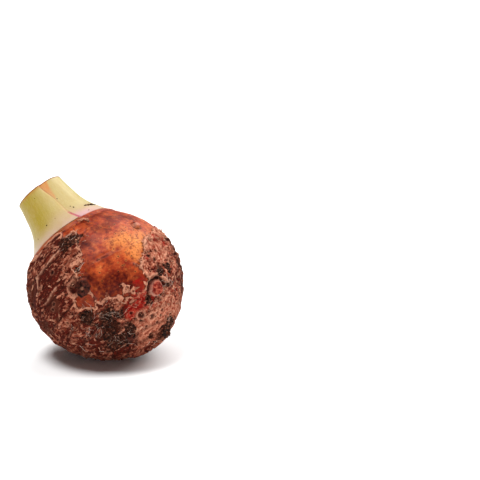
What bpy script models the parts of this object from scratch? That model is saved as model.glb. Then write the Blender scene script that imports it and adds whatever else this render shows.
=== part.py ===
"""Taro cormel with the cut-off base of its leaf shoot, lying on its flank.

The tuber is a full, slightly egg-shaped ball ringed by old leaf scars. Most of it still wears its
papery bark, which has rubbed off one side in a ragged window. Two leaf-stalk bases grow from its top:
an outer sheath that wraps most of the way round, and the inner stalk that shows between its margins.

Each piece is shaped about its growth axis, which is local +Z through the tuber's middle, with local -Y
as the front. The empty "lie" then leans all of them over to the way the tuber rests. Metres throughout.
Around the axis, a place is given by its polar angle from the shoot's tip and its turn from the front
towards local +X, both in degrees.
"""

import math

import bmesh
import bpy
from mathutils import Matrix, Vector, noise

MM = 0.001

# Tuber
BODY_RADIUS = 24.75 * MM
BODY_FACET_SPLIT = 24  # each of the icosahedron's 20 faces becomes this number squared
SEAT_HEIGHT = 19.6 * MM  # where the shoot's base sits, measured up the axis from the tuber's middle
REST_DEPTH = 24.0 * MM  # from the tuber's middle down to the flat spot it rests on
BODY_UNEVENNESS = 0.3 * MM
SEAT_LIP = (42, 48)  # polar angles between which the smooth lip round the shoot turns to rough bark
REST_PATCH = (16, 25)  # degrees from straight down between which the pressed patch turns to rough bark

# Broad swellings and flats of the ball: polar angle, turn, half width, height
SWELLINGS = {
    "shoulder": (60, -90, 60, 0.75 * MM),
    "root_end": (170, 88, 42, 0.75 * MM),
    "under_flank": (136, -80, 40, -1.2 * MM),
    "right_flank": (80, 92, 50, 0.4 * MM),
    "back_flank": (100, 178, 50, -0.5 * MM),
}

# Old leaf scars that ring the tuber: polar angle of each, from the shoot down
LEAF_SCARS = (40, 47, 56, 66, 77, 89, 102, 115, 128, 141, 153, 163)
SCAR_HEIGHT = 0.72 * MM
SCAR_FADE = 4.6  # degrees over which a scar's lip dies away
SCAR_WAVER = 2.2  # degrees

# Papery bark, and the caps that make up the window where it has rubbed off: polar angle, turn, half width
BARK_THICKNESS = 0.6 * MM
BARK_EDGE = 1.4  # degrees on each side of the line where the bark ends
BARK_WRINKLE = 0.16 * MM
BARE_CAPS = (
    (48, 40, 16),
    (60, 62, 25),
    (56, 86, 18),
    (52, 104, 12),
    (70, 22, 20),
    (78, 38, 15),
    (86, 26, 19),
    (92, 10, 21),
    (98, 7, 22),
    (104, -20, 7),
    (112, 18, 11),
    (94, -158, 13),
    (82, -146, 11),
)
BARE_EDGE_RAGGEDNESS = 4.5  # degrees
FLAKED_SHARE = 0.3  # how high the flaking pattern must rise before a flake of bark is missing

# Pits that the dead roots left, one to a place in a sunflower spiral round the axis
ROOT_PITS = 60
ROOT_PIT_RADIUS = 1.5 * MM
ROOT_PIT_DEPTH = 0.4 * MM

# Side buds: polar angle, turn, radius, height
BUDS = {
    "front_bud": (126.2, 39.5, 2.7 * MM, 1.0 * MM),
    "upper_bud": (75.0, 51.4, 1.8 * MM, 0.8 * MM),
    "dark_bud": (97.5, -15.2, 2.4 * MM, 0.5 * MM),
    "low_bud": (150.8, -19.4, 2.6 * MM, 0.6 * MM),
    "back_bud": (104, 168, 2.8 * MM, 1.2 * MM),
    "left_bud": (82, -112, 2.2 * MM, 0.8 * MM),
    "back_upper_bud": (66, 148, 1.8 * MM, 0.9 * MM),
}
BUD_GROOVE_DEPTH = 0.55 * MM

# Hollows where soil has stayed: polar angle, turn, radius, depth
SOIL_HOLLOWS = (
    (57.4, -3.5, 3.2 * MM, 0.7 * MM),
    (124, -12.0, 3.4 * MM, 0.6 * MM),
    (131, -22.0, 4.4 * MM, 0.8 * MM),
    (144, -36.0, 4.2 * MM, 0.7 * MM),
    (165, 80.0, 3.6 * MM, 0.6 * MM),
    (118, 128.0, 3.6 * MM, 0.8 * MM),
    (76, -170.0, 3.0 * MM, 0.6 * MM),
)

# Scar at the root end, where the cormel broke off its parent
PARENT_SCAR_RADIUS = 5.6 * MM
PARENT_SCAR_DEPTH = 0.9 * MM
PARENT_SCAR_RIM = 0.7 * MM

# Shoot: a neck that flares onto the tuber's shoulder
GAP = 0.3 * MM
CUT_HEIGHT = 40.2 * MM
CUT_SLOPE = (0.035, 0.085)  # the knife's slant, height gained for each unit towards +X and +Y
NECK_RADIUS = 8.7 * MM
FLARE = 7.3 * MM  # extra radius at the foot
FLARE_FALL = 7.2 * MM  # height over which the flare dies away
FLARE_POWER = 1.25
NECK_TAPER = 0.45 * MM  # how much the neck draws in at the cut
NECK_OVALNESS = 0.02
NECK_LEAN = -0.3 * MM  # sideways drift of the neck by the time it reaches the cut

SHEATH_WALL = 1.2 * MM
SHEATH_EDGE_WALL = 0.5 * MM
SHEATH_FRONT_MARGIN = 18.0  # degrees of turn where the sheath's front margin runs
SHEATH_FOOT_SWEEP = 3.5  # how far that margin sweeps out at the foot
SHEATH_TOP_SWEEP = 9.5  # how far it draws back by the time it reaches the cut
SHEATH_BACK_MARGIN = -232.0
SHEATH_EDGE_SPAN = 24.0  # degrees over which its wall thins towards a margin
WINDOW_BULGE = 0.35 * MM  # the inner stalk stands this far outside the sheath's outline where it shows
WINDOW_CLEARANCE = 1.5  # degrees left beside each margin
WINDOW_EASE = 34.0  # degrees over which the inner stalk swells out

SHEATH_STEPS_ROUND = 44
SHEATH_STEPS_UP = 12
STALK_STEPS_ROUND = 72
STALK_STEPS_UP = 14

# How it lies
LEAN = 46.0  # degrees that the growth axis leans from upright
LEAN_HEADING = 138.0  # degrees from +X, seen from above, that it leans towards

MATERIALS = {
    "bark": ((0.17, 0.065, 0.035, 1.0), 0.85),
    "sheath": ((0.56, 0.48, 0.19, 1.0), 0.45),
    "stalk": ((0.70, 0.58, 0.30, 1.0), 0.45),
}


def smoothstep(low, high, value):
    share = min(1.0, max(0.0, (value - low) / (high - low)))
    return share * share * (3.0 - 2.0 * share)


def toward(polar, turn):
    """Unit vector at this polar angle from the shoot and turn from the front."""
    polar = math.radians(polar)
    turn = math.radians(turn)
    return Vector((math.sin(polar) * math.sin(turn), -math.sin(polar) * math.cos(turn), math.cos(polar)))


def degrees_between(one, other):
    return math.degrees(math.acos(min(1.0, max(-1.0, one.dot(other)))))


def turn_of(direction):
    return math.degrees(math.atan2(direction.x, -direction.y))


def lean_matrix():
    """The lean from growing upright to lying as found."""
    heading = math.radians(LEAN_HEADING)
    hinge = Vector((-math.sin(heading), math.cos(heading), 0.0))
    return Matrix.Rotation(math.radians(LEAN), 4, hinge)


def swelling(direction):
    """Broad lumps and flats of the ball, plus a little unevenness."""
    height = BODY_UNEVENNESS * noise.noise(direction * 2.1)
    for polar, turn, half_width, lump in SWELLINGS.values():
        away = degrees_between(direction, toward(polar, turn))
        height += lump * math.exp(-((away / half_width) ** 2))
    return height


def bark_cover(direction):
    """1 where the papery bark is whole, 0 inside the window or where a flake has gone."""
    ragged = noise.fractal(direction * 5.5, 1.0, 2.0, 3) * BARE_EDGE_RAGGEDNESS
    deepest = max(reach - degrees_between(direction, toward(polar, turn)) for polar, turn, reach in BARE_CAPS)
    inside = smoothstep(-BARK_EDGE, BARK_EDGE, deepest + ragged)
    along_rings = Vector((direction.x * 3.0, direction.y * 3.0, direction.z * 7.0))
    flaked = smoothstep(FLAKED_SHARE - 0.07, FLAKED_SHARE + 0.07, noise.fractal(along_rings, 1.0, 2.0, 2))
    return (1.0 - inside) * (1.0 - flaked)


def bark_wrinkle(direction):
    """Short ridges that run round the tuber with the rings."""
    along_rings = Vector((direction.x * 5.0, direction.y * 5.0, direction.z * 13.0))
    return BARK_WRINKLE * (1.0 - 2.0 * abs(noise.noise(along_rings)))


def leaf_scar(direction):
    """Stepped rings: each old leaf base ends in a lip that faces the shoot, then fades away."""
    polar = degrees_between(direction, Vector((0.0, 0.0, 1.0)))
    waver = SCAR_WAVER * noise.noise(direction * 1.7 + Vector((7.0, 0.0, 0.0)))
    height = 0.0
    for scar in LEAF_SCARS:
        below = polar - scar - waver
        lip = smoothstep(-1.6, 0.2, below)
        fade = math.exp(-max(0.0, below) / SCAR_FADE)
        height = max(height, lip * fade)
    return height * SCAR_HEIGHT


def root_pit(direction):
    """Small dents, spread evenly from the shoulder to the root end."""
    depth = 0.0
    for place in range(ROOT_PITS):
        polar = math.degrees(math.acos(0.66 - 1.56 * (place + 0.5) / ROOT_PITS))
        away = direction.angle(toward(polar, place * 137.508)) * BODY_RADIUS / ROOT_PIT_RADIUS
        depth = max(depth, math.exp(-(away**4)))
    return depth * ROOT_PIT_DEPTH


def bud(direction):
    """Side buds: low domes, each in its own groove."""
    height = 0.0
    for polar, turn, radius, dome in BUDS.values():
        away = math.radians(degrees_between(direction, toward(polar, turn))) * BODY_RADIUS / radius
        if away < 1.0:
            height += dome * (1.0 - away * away)
        height -= BUD_GROOVE_DEPTH * math.exp(-(((away - 1.25) / 0.35) ** 2))
    return height


def soil_hollow(direction):
    depth = 0.0
    for polar, turn, radius, deep in SOIL_HOLLOWS:
        away = math.radians(degrees_between(direction, toward(polar, turn))) * BODY_RADIUS / radius
        depth = max(depth, deep * math.exp(-(away**4)))
    return depth


def parent_scar(direction):
    """A sunken disc in a raised collar at the root end."""
    from_root_end = math.radians(degrees_between(direction, Vector((0.0, 0.0, -1.0))))
    away = from_root_end * BODY_RADIUS / PARENT_SCAR_RADIUS
    dish = -PARENT_SCAR_DEPTH * (1.0 - smoothstep(0.55, 1.0, away))
    collar = PARENT_SCAR_RIM * math.exp(-(((away - 1.12) / 0.28) ** 2))
    return dish + collar


def straight_down():
    """Local direction that points down once the tuber lies on its flank."""
    return lean_matrix().transposed() @ Vector((0.0, 0.0, -1.0))


def body_surface(direction, down):
    """The tuber's surface point in this direction from its middle."""
    cover = bark_cover(direction)
    relief = cover * (BARK_THICKNESS + bark_wrinkle(direction) - root_pit(direction))
    relief += leaf_scar(direction) * (0.3 + 0.7 * cover)
    relief += bud(direction) - soil_hollow(direction) + parent_scar(direction)
    rough = smoothstep(*SEAT_LIP, degrees_between(direction, Vector((0.0, 0.0, 1.0))))
    rough *= smoothstep(*REST_PATCH, degrees_between(direction, down))
    relief = BARK_THICKNESS + (relief - BARK_THICKNESS) * rough
    return direction * (BODY_RADIUS + swelling(direction) + relief)


def slice_flat(body, point, normal):
    """Cuts off what lies beyond the plane and closes the cut with one flat face."""
    geometry = body.verts[:] + body.edges[:] + body.faces[:]
    cut = bmesh.ops.bisect_plane(
        body, geom=geometry, dist=1e-7, plane_co=point, plane_no=normal, clear_outer=True
    )
    rim = [item for item in cut["geom_cut"] if isinstance(item, bmesh.types.BMEdge)]
    bmesh.ops.contextual_create(body, geom=rim)


def make_tuber():
    """An icosahedron split fine, thrown onto the tuber's surface, then cut flat at two places."""
    body = bmesh.new()
    bmesh.ops.create_icosphere(body, subdivisions=1, radius=1.0)
    bmesh.ops.subdivide_edges(body, edges=body.edges[:], cuts=BODY_FACET_SPLIT - 1, use_grid_fill=True)
    down = straight_down()
    for vertex in body.verts:
        vertex.co = body_surface(vertex.co.normalized(), down)
    slice_flat(body, Vector((0.0, 0.0, SEAT_HEIGHT)), Vector((0.0, 0.0, 1.0)))
    slice_flat(body, down * REST_DEPTH, down)
    bmesh.ops.recalc_face_normals(body, faces=body.faces[:])
    return body


def neck_radius(height):
    """Outline of the shoot at a height up the axis: a near-straight neck with a flared foot."""
    above = height - SEAT_HEIGHT
    drawn_in = NECK_TAPER * smoothstep(CUT_HEIGHT - 7.0 * MM, CUT_HEIGHT, height)
    return NECK_RADIUS + FLARE * math.exp(-((above / FLARE_FALL) ** FLARE_POWER)) - drawn_in


def outline_slope(height):
    """Radial length of one unit of wall measured square to the outline."""
    share = (height - SEAT_HEIGHT) / FLARE_FALL
    fall = FLARE * FLARE_POWER / FLARE_FALL * share ** (FLARE_POWER - 1.0) * math.exp(-(share**FLARE_POWER))
    return math.sqrt(1.0 + fall * fall)


def front_margin(height):
    """Turn of the sheath's front margin, which sweeps outwards at its foot and back at the cut."""
    foot = 1.0 - smoothstep(SEAT_HEIGHT, SEAT_HEIGHT + 5.0 * MM, height)
    top = smoothstep(SEAT_HEIGHT + 12.0 * MM, CUT_HEIGHT, height)
    return SHEATH_FRONT_MARGIN + SHEATH_FOOT_SWEEP * foot - SHEATH_TOP_SWEEP * top


def sheath_wall(turn, height):
    """Wall of the sheath, thinner beside its margins."""
    from_margin = min(front_margin(height) - turn, turn - SHEATH_BACK_MARGIN)
    share = smoothstep(0.0, SHEATH_EDGE_SPAN, from_margin)
    return SHEATH_EDGE_WALL + (SHEATH_WALL - SHEATH_EDGE_WALL) * share


def stalk_set_back(turn, height):
    """How far the inner stalk lies inside the shoot's outline, under the sheath or past its margins."""
    past_front = (turn - front_margin(height)) % 360.0
    window = (SHEATH_BACK_MARGIN - front_margin(height)) % 360.0
    if past_front > window:
        return sheath_wall(front_margin(height) + past_front - 360.0, height) + GAP
    from_margin = min(past_front, window - past_front) - WINDOW_CLEARANCE
    swollen = smoothstep(0.0, WINDOW_EASE, from_margin)
    bulge = WINDOW_BULGE * smoothstep(SEAT_HEIGHT, SEAT_HEIGHT + 5.0 * MM, height)
    return (SHEATH_EDGE_WALL + GAP) * (1.0 - swollen) - bulge * swollen


def shoot_point(turn, height, set_back):
    """A point of the shoot, this far inside its outline and measured square to it."""
    oval = 1.0 + NECK_OVALNESS * math.cos(math.radians(2.0 * turn - 80.0))
    radius = neck_radius(height) * oval - set_back * outline_slope(height)
    drift = NECK_LEAN * ((height - SEAT_HEIGHT) / (CUT_HEIGHT - SEAT_HEIGHT)) ** 1.5
    angle = math.radians(turn)
    x = radius * math.sin(angle) + drift
    y = -radius * math.cos(angle)
    slant = (CUT_SLOPE[0] * x + CUT_SLOPE[1] * y) * smoothstep(SEAT_HEIGHT + 4.0 * MM, CUT_HEIGHT, height)
    return Vector((x, y, height + slant))


def make_outer_sheath():
    """A block split round and up, with its length wrapped about the axis and its depth made the wall."""
    sheath = bmesh.new()
    bmesh.ops.create_cube(sheath, size=1.0)
    lengthwise = [edge for edge in sheath.edges if abs(edge.verts[0].co.x - edge.verts[1].co.x) > 0.5]
    bmesh.ops.subdivide_edges(sheath, edges=lengthwise, cuts=SHEATH_STEPS_ROUND - 1, use_grid_fill=True)
    upright = [edge for edge in sheath.edges if abs(edge.verts[0].co.z - edge.verts[1].co.z) > 0.5]
    bmesh.ops.subdivide_edges(sheath, edges=upright, cuts=SHEATH_STEPS_UP - 1, use_grid_fill=True)
    foot = SEAT_HEIGHT + GAP
    for vertex in sheath.verts:
        height = foot + (CUT_HEIGHT - foot) * (vertex.co.z + 0.5)
        round_share = vertex.co.x + 0.5
        turn = SHEATH_BACK_MARGIN + (front_margin(height) - SHEATH_BACK_MARGIN) * round_share
        depth = 0.0 if vertex.co.y < 0.0 else sheath_wall(turn, height)
        vertex.co = shoot_point(turn, height, depth)
    bmesh.ops.recalc_face_normals(sheath, faces=sheath.faces[:])
    return sheath


def make_inner_stalk():
    """A closed cylinder split up its height, with its wall moved to the inner stalk's outline."""
    stalk = bmesh.new()
    bmesh.ops.create_cone(
        stalk, cap_ends=True, segments=STALK_STEPS_ROUND, radius1=1.0, radius2=1.0, depth=1.0
    )
    upright = [edge for edge in stalk.edges if abs(edge.verts[0].co.z - edge.verts[1].co.z) > 0.5]
    bmesh.ops.subdivide_edges(stalk, edges=upright, cuts=STALK_STEPS_UP - 1, use_grid_fill=True)
    foot = SEAT_HEIGHT + GAP
    for vertex in stalk.verts:
        height = foot + (CUT_HEIGHT - foot) * (vertex.co.z + 0.5)
        turn = turn_of(vertex.co)
        vertex.co = shoot_point(turn, height, stalk_set_back(turn, height))
    bmesh.ops.recalc_face_normals(stalk, faces=stalk.faces[:])
    return stalk


def make_material(name):
    colour, roughness = MATERIALS[name]
    material = bpy.data.materials.new(name)
    material.use_nodes = True
    shader = material.node_tree.nodes["Principled BSDF"]
    shader.inputs["Base Color"].default_value = colour
    shader.inputs["Roughness"].default_value = roughness
    shader.inputs["Metallic"].default_value = 0.0
    material.diffuse_color = colour
    return material


def add_piece(name, shape, material, collection, lie):
    """Turns a finished bmesh into a named object that leans with the empty."""
    mesh = bpy.data.meshes.new(name)
    shape.to_mesh(mesh)
    shape.free()
    mesh.materials.append(make_material(material))
    mesh.shade_smooth()
    mesh.set_sharp_from_angle(angle=math.radians(40.0))
    piece = bpy.data.objects.new(name, mesh)
    collection.objects.link(piece)
    piece.parent = lie
    return piece


def main():
    for thing in list(bpy.data.objects):
        bpy.data.objects.remove(thing)
    collection = bpy.data.collections.new("taro_cormel")
    bpy.context.scene.collection.children.link(collection)
    lie = bpy.data.objects.new("lie", None)
    collection.objects.link(lie)
    lie.matrix_world = Matrix.Translation((0.0, 0.0, REST_DEPTH)) @ lean_matrix()
    add_piece("corm", make_tuber(), "bark", collection, lie)
    add_piece("outer_sheath", make_outer_sheath(), "sheath", collection, lie)
    add_piece("inner_stalk", make_inner_stalk(), "stalk", collection, lie)


main()
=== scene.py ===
"""Looks of the taro cormel: bark, bare skin, soil, rootlets and cut leaf shoot, on a pale studio floor.

Every piece is shaped upright about the growth axis, as in the construction source, then leaned over with
its mesh, so that the finished object sits at the origin. A place on the tuber is its polar angle from the
shoot and its turn from the front, in degrees.
"""

import math
import random

import bmesh
import bpy
import numpy as np
from mathutils import Matrix, Vector, noise


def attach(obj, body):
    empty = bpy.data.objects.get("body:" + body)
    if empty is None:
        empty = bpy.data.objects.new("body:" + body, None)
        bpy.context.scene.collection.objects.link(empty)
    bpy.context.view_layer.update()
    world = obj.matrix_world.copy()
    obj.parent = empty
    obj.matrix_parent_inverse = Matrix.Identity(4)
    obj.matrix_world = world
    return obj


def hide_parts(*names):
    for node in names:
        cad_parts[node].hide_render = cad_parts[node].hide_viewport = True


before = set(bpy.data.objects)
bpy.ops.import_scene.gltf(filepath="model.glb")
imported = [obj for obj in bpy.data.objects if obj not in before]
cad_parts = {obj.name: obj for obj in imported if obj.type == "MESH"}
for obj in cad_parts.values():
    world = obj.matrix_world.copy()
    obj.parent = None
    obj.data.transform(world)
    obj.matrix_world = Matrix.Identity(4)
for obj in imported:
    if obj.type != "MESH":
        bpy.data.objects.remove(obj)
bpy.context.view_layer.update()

# The tuber
# One grown ball of starchy flesh in a thin waxy skin, with papery brown bark left from the old leaf bases.
# The bark has rubbed off the front in a ragged window; eyes, root pits and soil break up the rest.
MM = 0.001
LIE_HEIGHT = 24.0 * MM
LEAN = 46.0
LEAN_HEADING = 138.0
BODY_RADIUS = 24.75 * MM
BODY_SPLIT = 96
SEAT_HEIGHT = 19.6 * MM
MIDDLE_RADIUS = 25.0
MM_PER_DEGREE = 0.445
BARK_LEVEL = 0.6
# Broad swellings and hollows of shoulder, root end and flanks: place, radius and height in millimetres.
SWELLINGS = (
    (60, -90, 26.7, 0.75), (170, 88, 18.69, 0.75), (136, -80, 17.8, -1.2), (80, 92, 22.25, 0.4),
    (100, 178, 22.25, -0.5),
)
# Polar angles of the rings where leaves were attached.
LEAF_SCARS = (40, 47, 56, 66, 77, 89, 102, 115, 128, 141, 153, 163)
# The bare window is made of round caps: polar angle, turn and reach in degrees.
BARE_CAPS = (
    (48, 40, 16), (51, 13, 8), (48, 2, 6), (60, 62, 25), (66, 76, 20), (70, 50, 18), (56, 86, 18),
    (52, 104, 12), (70, 22, 20), (78, 38, 15), (86, 26, 19), (92, 10, 21), (98, 7, 22), (104, -20, 7),
    (112, 18, 11), (94, -158, 13), (82, -146, 11),
)
# Bark left inside it: polar angle, turn, radius in millimetres.
BARK_ISLANDS = (
    (113, 11.5, 0.8), (116.5, 13, 1.2), (120, 15, 1.2), (116.5, 8, 0.7),
)
# Buds: polar angle, turn, radius and height in millimetres.
BUDS = {
    "front_bud": (126.4, 38.0, 2.6, 0.9),
    "upper_bud": (75.5, 52.4, 1.4, 1.1),
    "dark_bud": (97.5, -15.2, 2.6, 0.2),
    "low_bud": (150.8, -19.4, 2.4, 0.35),
    "back_bud": (104, 168, 2.6, 1.0),
    "left_bud": (82, -112, 2.0, 0.6),
    "back_upper_bud": (66, 148, 1.6, 0.8),
}
DARK_BUDS = ("dark_bud", "low_bud", "left_bud")
# Bark worn smooth: polar angle, turn, radius in millimetres.
SMOOTH_PATCHES = (
    (68, -60, 3.4), (91, -43, 3.0), (95, -70, 2.8), (101, -49, 1.2),
)
# Curled edges of bark and cracks in it, as lines of places.
RIDGES = (
    ((62, -15), (64, -27.5), (67, -46), (77.5, -51.5)),
    ((84, -31), (86.4, -48.7)),
    ((91.3, 46), (98, 37), (104.6, 31.7), (112, 29), (116.5, 29.7)),
    ((116.5, 29.7), (119, 33), (117.4, 40), (118.5, 46), (123, 52), (128, 54)),
    ((86, 64), (92, 72), (97, 80), (107, 89), (118, 92)),
)
CRACKS = (
    ((88, -51), (99.9, -50.9)),
    ((86.9, 5.2), (87.6, 11.8), (89.1, 19.3)),
)
# How much more or less of the bark is pale flakes: place, radius in millimetres, amount.
FLAKE_SHARES = (
    (75, -28, 5.5, -0.16), (92, -46, 5.0, -0.08), (88, -72, 7.0, -0.06), (75, -11, 3.6, 0.3),
    (72, -1, 2.6, -0.14), (112, -9, 3.0, -0.18), (135, 13, 2.6, -0.14), (124, 58, 4.0, -0.08),
    (52, -11, 3.0, -0.15), (139, -1, 3.0, 0.1), (88, -43, 4.5, -0.08), (152, 12, 7.0, 0.24),
    (162, -10, 4.0, 0.12), (169, 16, 4.0, 0.12), (84, -17, 2.6, 0.16), (111, -47, 5.0, 0.18),
    (117, -60, 3.4, -0.12), (136, 50, 10.0, 0.1), (97, 56, 8.0, 0.26), (107, 66, 5.0, 0.14),
    (152, 56, 7.0, 0.2), (164, 125, 6.0, 0.2), (62, -30, 5.0, 0.06), (115, 43, 2.0, -0.3),
    (117, 11, 3.4, -0.15), (80, -30, 6.0, -0.04), (140, -40, 9.0, -0.08),
)
# Brighter and redder places of the bare skin: place, radius in millimetres, amount.
TONES = (
    (87, 40, 6.0, 1.0), (97, 5, 2.4, -0.1), (98, 31, 3.0, 0.45), (86, 19, 3.0, 0.25),
    (66, 4, 3.0, -0.8), (72, 8, 3.4, -0.45), (68, 22, 3.0, -0.4), (68, 52, 4.0, -0.3),
    (105, 21, 2.6, -0.5), (112, 17, 3.0, -0.6), (109, 9, 3.0, -0.5), (79, 22, 3.0, 0.5),
    (78, 42, 3.0, -0.4), (92, 3, 2.4, 0.3), (84, 29, 4.0, 0.3), (66, 43, 3.0, 0.4),
    (106, -22, 2.6, -0.8), (60, 70, 6.0, -0.25), (67, 32, 3.4, -0.7), (60, 50, 4.0, -0.35),
    (84, -4, 4.0, -0.35), (88, 11, 2.4, -0.3), (94, 12.5, 2.0, -0.5), (105, 12.3, 2.0, -0.9),
    (95, -6, 2.4, -0.8), (109, 0, 4.6, -1.3), (118, 22, 3.0, -0.8), (56, 17, 2.4, -0.3),
    (49, 36, 3.0, -0.5), (46, 54, 3.2, -0.5), (58, 40, 2.2, -0.4),
)
# Hollows filled with soil: polar angle, turn, radius in millimetres. The last one, right of the front bud, is
# dark soil put in as the painted shade of a hollow.
SOIL_PATCHES = (
    (60.5, -6.0, 3.2), (62.0, 1.0, 2.3), (116, -28.0, 2.2), (123, -13.0, 2.4), (130, -6.0, 1.4),
    (133, 28.0, 1.5), (131, -22.0, 4.2), (141, -31.0, 4.0), (149, -39.0, 4.2), (144, -6.0, 2.2),
    (158, 70.0, 2.8), (164, 60.0, 4.6), (118, 128.0, 3.6), (76, -170.0, 3.2), (126, -150.0, 4.0),
    (84, -11.0, 0.8), (116, 47.0, 1.3), (114.5, 58.0, 1.3), (126.5, 52.5, 1.2),
)
# Fresh red scrapes: polar angle, turn, radius in millimetres.
RAW_PATCHES = (
    (129, 17.5, 3.6), (132, 6, 3.0), (118, 24, 2.2), (90, 59, 1.6), (95, 66, 1.4), (102.5, 38.5, 0.9),
    (134, 30, 1.8), (118, -176, 3.0),
)
# Root pits: polar angle, turn, radius in millimetres. The large ones have a pale rim.
CRATERS = [
    (139, 12, 1.2), (144.8, 24.6, 1.2), (124.5, -15, 1.4), (108.5, 1.0, 0.8), (134, 24, 0.8), (119, 21, 0.8),
]
LARGE_CRATER = 0.9
# The bare lip round the shoot ends at this polar angle. The clod is one large lump of soil.
LIP_POLAR = 44.0
CLOD = (164, 61, 4.3)
# Middles of the left flank, where the worn smooth bark is darkened as painted shade, and of the paler, redder
# right one.
LEFT_FLANK = (88, -58)
RIGHT_FLANK = (121, 51)
# Millimetres: the round root end, and where the flat rest spot begins to fade and is gone.
ROOT_END_RADIUS = 5.6
REST_SPOT = (6.0, 9.5)

random.seed(11)
for _ in range(150):
    crater_polar = math.degrees(math.acos(random.uniform(-0.97, 0.55)))
    CRATERS.append((crater_polar, random.uniform(-180, 180), random.uniform(0.35, 0.85)))
for _ in range(26):
    CRATERS.append((random.uniform(126, 160), random.uniform(8, 84), random.uniform(0.4, 0.8)))


def lean_matrix():
    heading = math.radians(LEAN_HEADING)
    hinge = Vector((-math.sin(heading), math.cos(heading), 0.0))
    return Matrix.Rotation(math.radians(LEAN), 4, hinge)


TO_WORLD = Matrix.Translation((0.0, 0.0, LIE_HEIGHT)) @ lean_matrix()


def smoothstep(low, high, value):
    share = np.clip((value - low) / (high - low), 0.0, 1.0)
    return share * share * (3.0 - 2.0 * share)


def toward(polar, turn):
    """Direction of a place from the tuber's middle."""
    polar = math.radians(polar)
    turn = math.radians(turn)
    flat = math.sin(polar)
    return np.array((flat * math.sin(turn), -flat * math.cos(turn), math.cos(polar)))


def away_from(directions, polar, turn):
    """Millimetres over the tuber's surface from a place to each direction."""
    return np.degrees(np.arccos(np.clip(directions @ toward(polar, turn), -1.0, 1.0))) * MM_PER_DEGREE


def from_line(directions, places):
    """Millimetres over the surface from a line through the places to each direction."""
    nearest = np.full(len(directions), 9.0)
    for one, other in zip(places, places[1:]):
        start = toward(*one)
        run = toward(*other) - start
        share = np.clip((directions - start) @ run / (run @ run), 0.0, 1.0)
        nearest = np.minimum(nearest, np.linalg.norm(directions - start - share[:, None] * run, axis=1))
    return np.degrees(nearest) * MM_PER_DEGREE


def grain(points, scale, octaves=1, shift=0.0):
    """Layered noise at each point, about -1 to 1; scale may differ along each axis."""
    scaled = points * np.asarray(scale) + shift
    return np.array([noise.fractal(place, 1.0, 2.0, octaves) for place in scaled.tolist()])


def bell(share):
    return np.exp(-(share**2))


def flat_bell(share):
    return np.exp(-(share**4))


def spots(d, places):
    """Soft round spots added up: polar angle, turn, radius in millimetres, amount."""
    return sum(amount * bell(away_from(d, polar, turn) / radius) for polar, turn, radius, amount in places)


def nearness(d, places, middle):
    """This much in the middle of the nearest place and 1 less at its radius; never under -1."""
    near = [middle - away_from(d, polar, turn) / radius for polar, turn, radius in places]
    return np.clip(np.max(near, axis=0), -1.0, None)


def window_inside(d):
    """Millimetres inside the bare window; negative under the bark."""
    caps = [reach * MM_PER_DEGREE - away_from(d, polar, turn) for polar, turn, reach in BARE_CAPS]
    islands = [away_from(d, polar, turn) - radius for polar, turn, radius in BARK_ISLANDS]
    ragged = np.max(caps, axis=0) + grain(d, 5.5, 3) * 2.0
    return np.minimum(ragged, np.min(islands, axis=0)) + grain(d, 21.0, 3, 3.0) * 1.3


def rings(polar):
    """Low steps where leaves were attached, and the groove before each."""
    step = np.zeros(len(polar))
    groove = np.zeros(len(polar))
    for scar in LEAF_SCARS:
        below = polar - scar
        step = np.maximum(step, smoothstep(-0.9, 0.1, below) * np.exp(-np.clip(below, 0, None) / 4.2))
        groove = np.maximum(groove, bell((below + 0.9) / 0.7))
    return step, groove


def craters(d):
    """Pits that old roots left, and their rims."""
    pit = np.zeros(len(d))
    rim = np.zeros(len(d))
    for polar, turn, radius in CRATERS:
        share = away_from(d, polar, turn) / radius
        near = share < 2.5
        pale = 1.0 if radius > LARGE_CRATER else 0.35
        pit[near] = np.maximum(pit[near], np.exp(-(share[near] ** 4) * 2.2))
        rim[near] = np.maximum(rim[near], pale * bell((share[near] - 1.15) / 0.24))
    return pit, rim


def buds(d):
    """Buds, each in a round groove with a low collar about it. The grooves get painted shade; the raised
    upper bud gets a painted highlight above and a painted shadow below.
    """
    bud = {name: np.zeros(len(d)) for name in ("height", "bud", "dark bud", "wall", "ring", "collar")}
    uneven = grain(d, 10.0, 3, 41.0)

    def raise_to(name, amount):
        bud[name] = np.maximum(bud[name], amount)

    for name, (polar, turn, radius, tall) in BUDS.items():
        is_dark = name in DARK_BUDS
        is_bare = name == "upper_bud"
        share = away_from(d, polar, turn) / radius + uneven * (0.24 if is_dark else 0.16)
        uphill = d @ toward(polar - 90, turn) * MIDDLE_RADIUS / radius
        side = np.clip(0.75 + 0.45 * uphill, 0.15, 1.3) * (0.5 if is_dark or is_bare else 1.0)
        groove = side * bell((share - 1.32) / 0.24)
        collar = side * bell((share - 1.72) / 0.13)
        bowl = 1.0 - (0.15 if is_bare else 0.5) * bell(share / 0.6)
        bud["height"] += tall * np.clip(1.0 - share**4, 0.0, None) * bowl + 0.35 * collar - 0.7 * groove
        within = 1.0 - smoothstep(0.98, 1.1, share)
        if is_dark:
            raise_to("dark bud", within * (1.0 - 0.6 * bell(share / 0.13)))
        elif is_bare:
            # Painted highlight on the uphill side of the raised upper bud.
            raise_to("wall", within * np.clip(0.45 + 0.5 * uphill, 0.0, 0.9))
            # Painted shadow line on the downhill side of the raised upper bud.
            raise_to("ring", bell((share - 1.2) / 0.22) * np.clip(0.2 - 0.9 * uphill, 0.0, 0.8))
        else:
            raise_to("bud", within)
            raise_to("wall", bell((share - 0.92) / 0.12) * np.clip(0.8 - 0.4 * uphill, 0.2, 1.0))
        # Painted shade in each bud's groove, heavier on its uphill side.
        raise_to("ring", groove)
        raise_to("collar", collar)
    bud["ring"] = np.clip(bud["ring"], 0, 1)
    return bud


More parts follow.
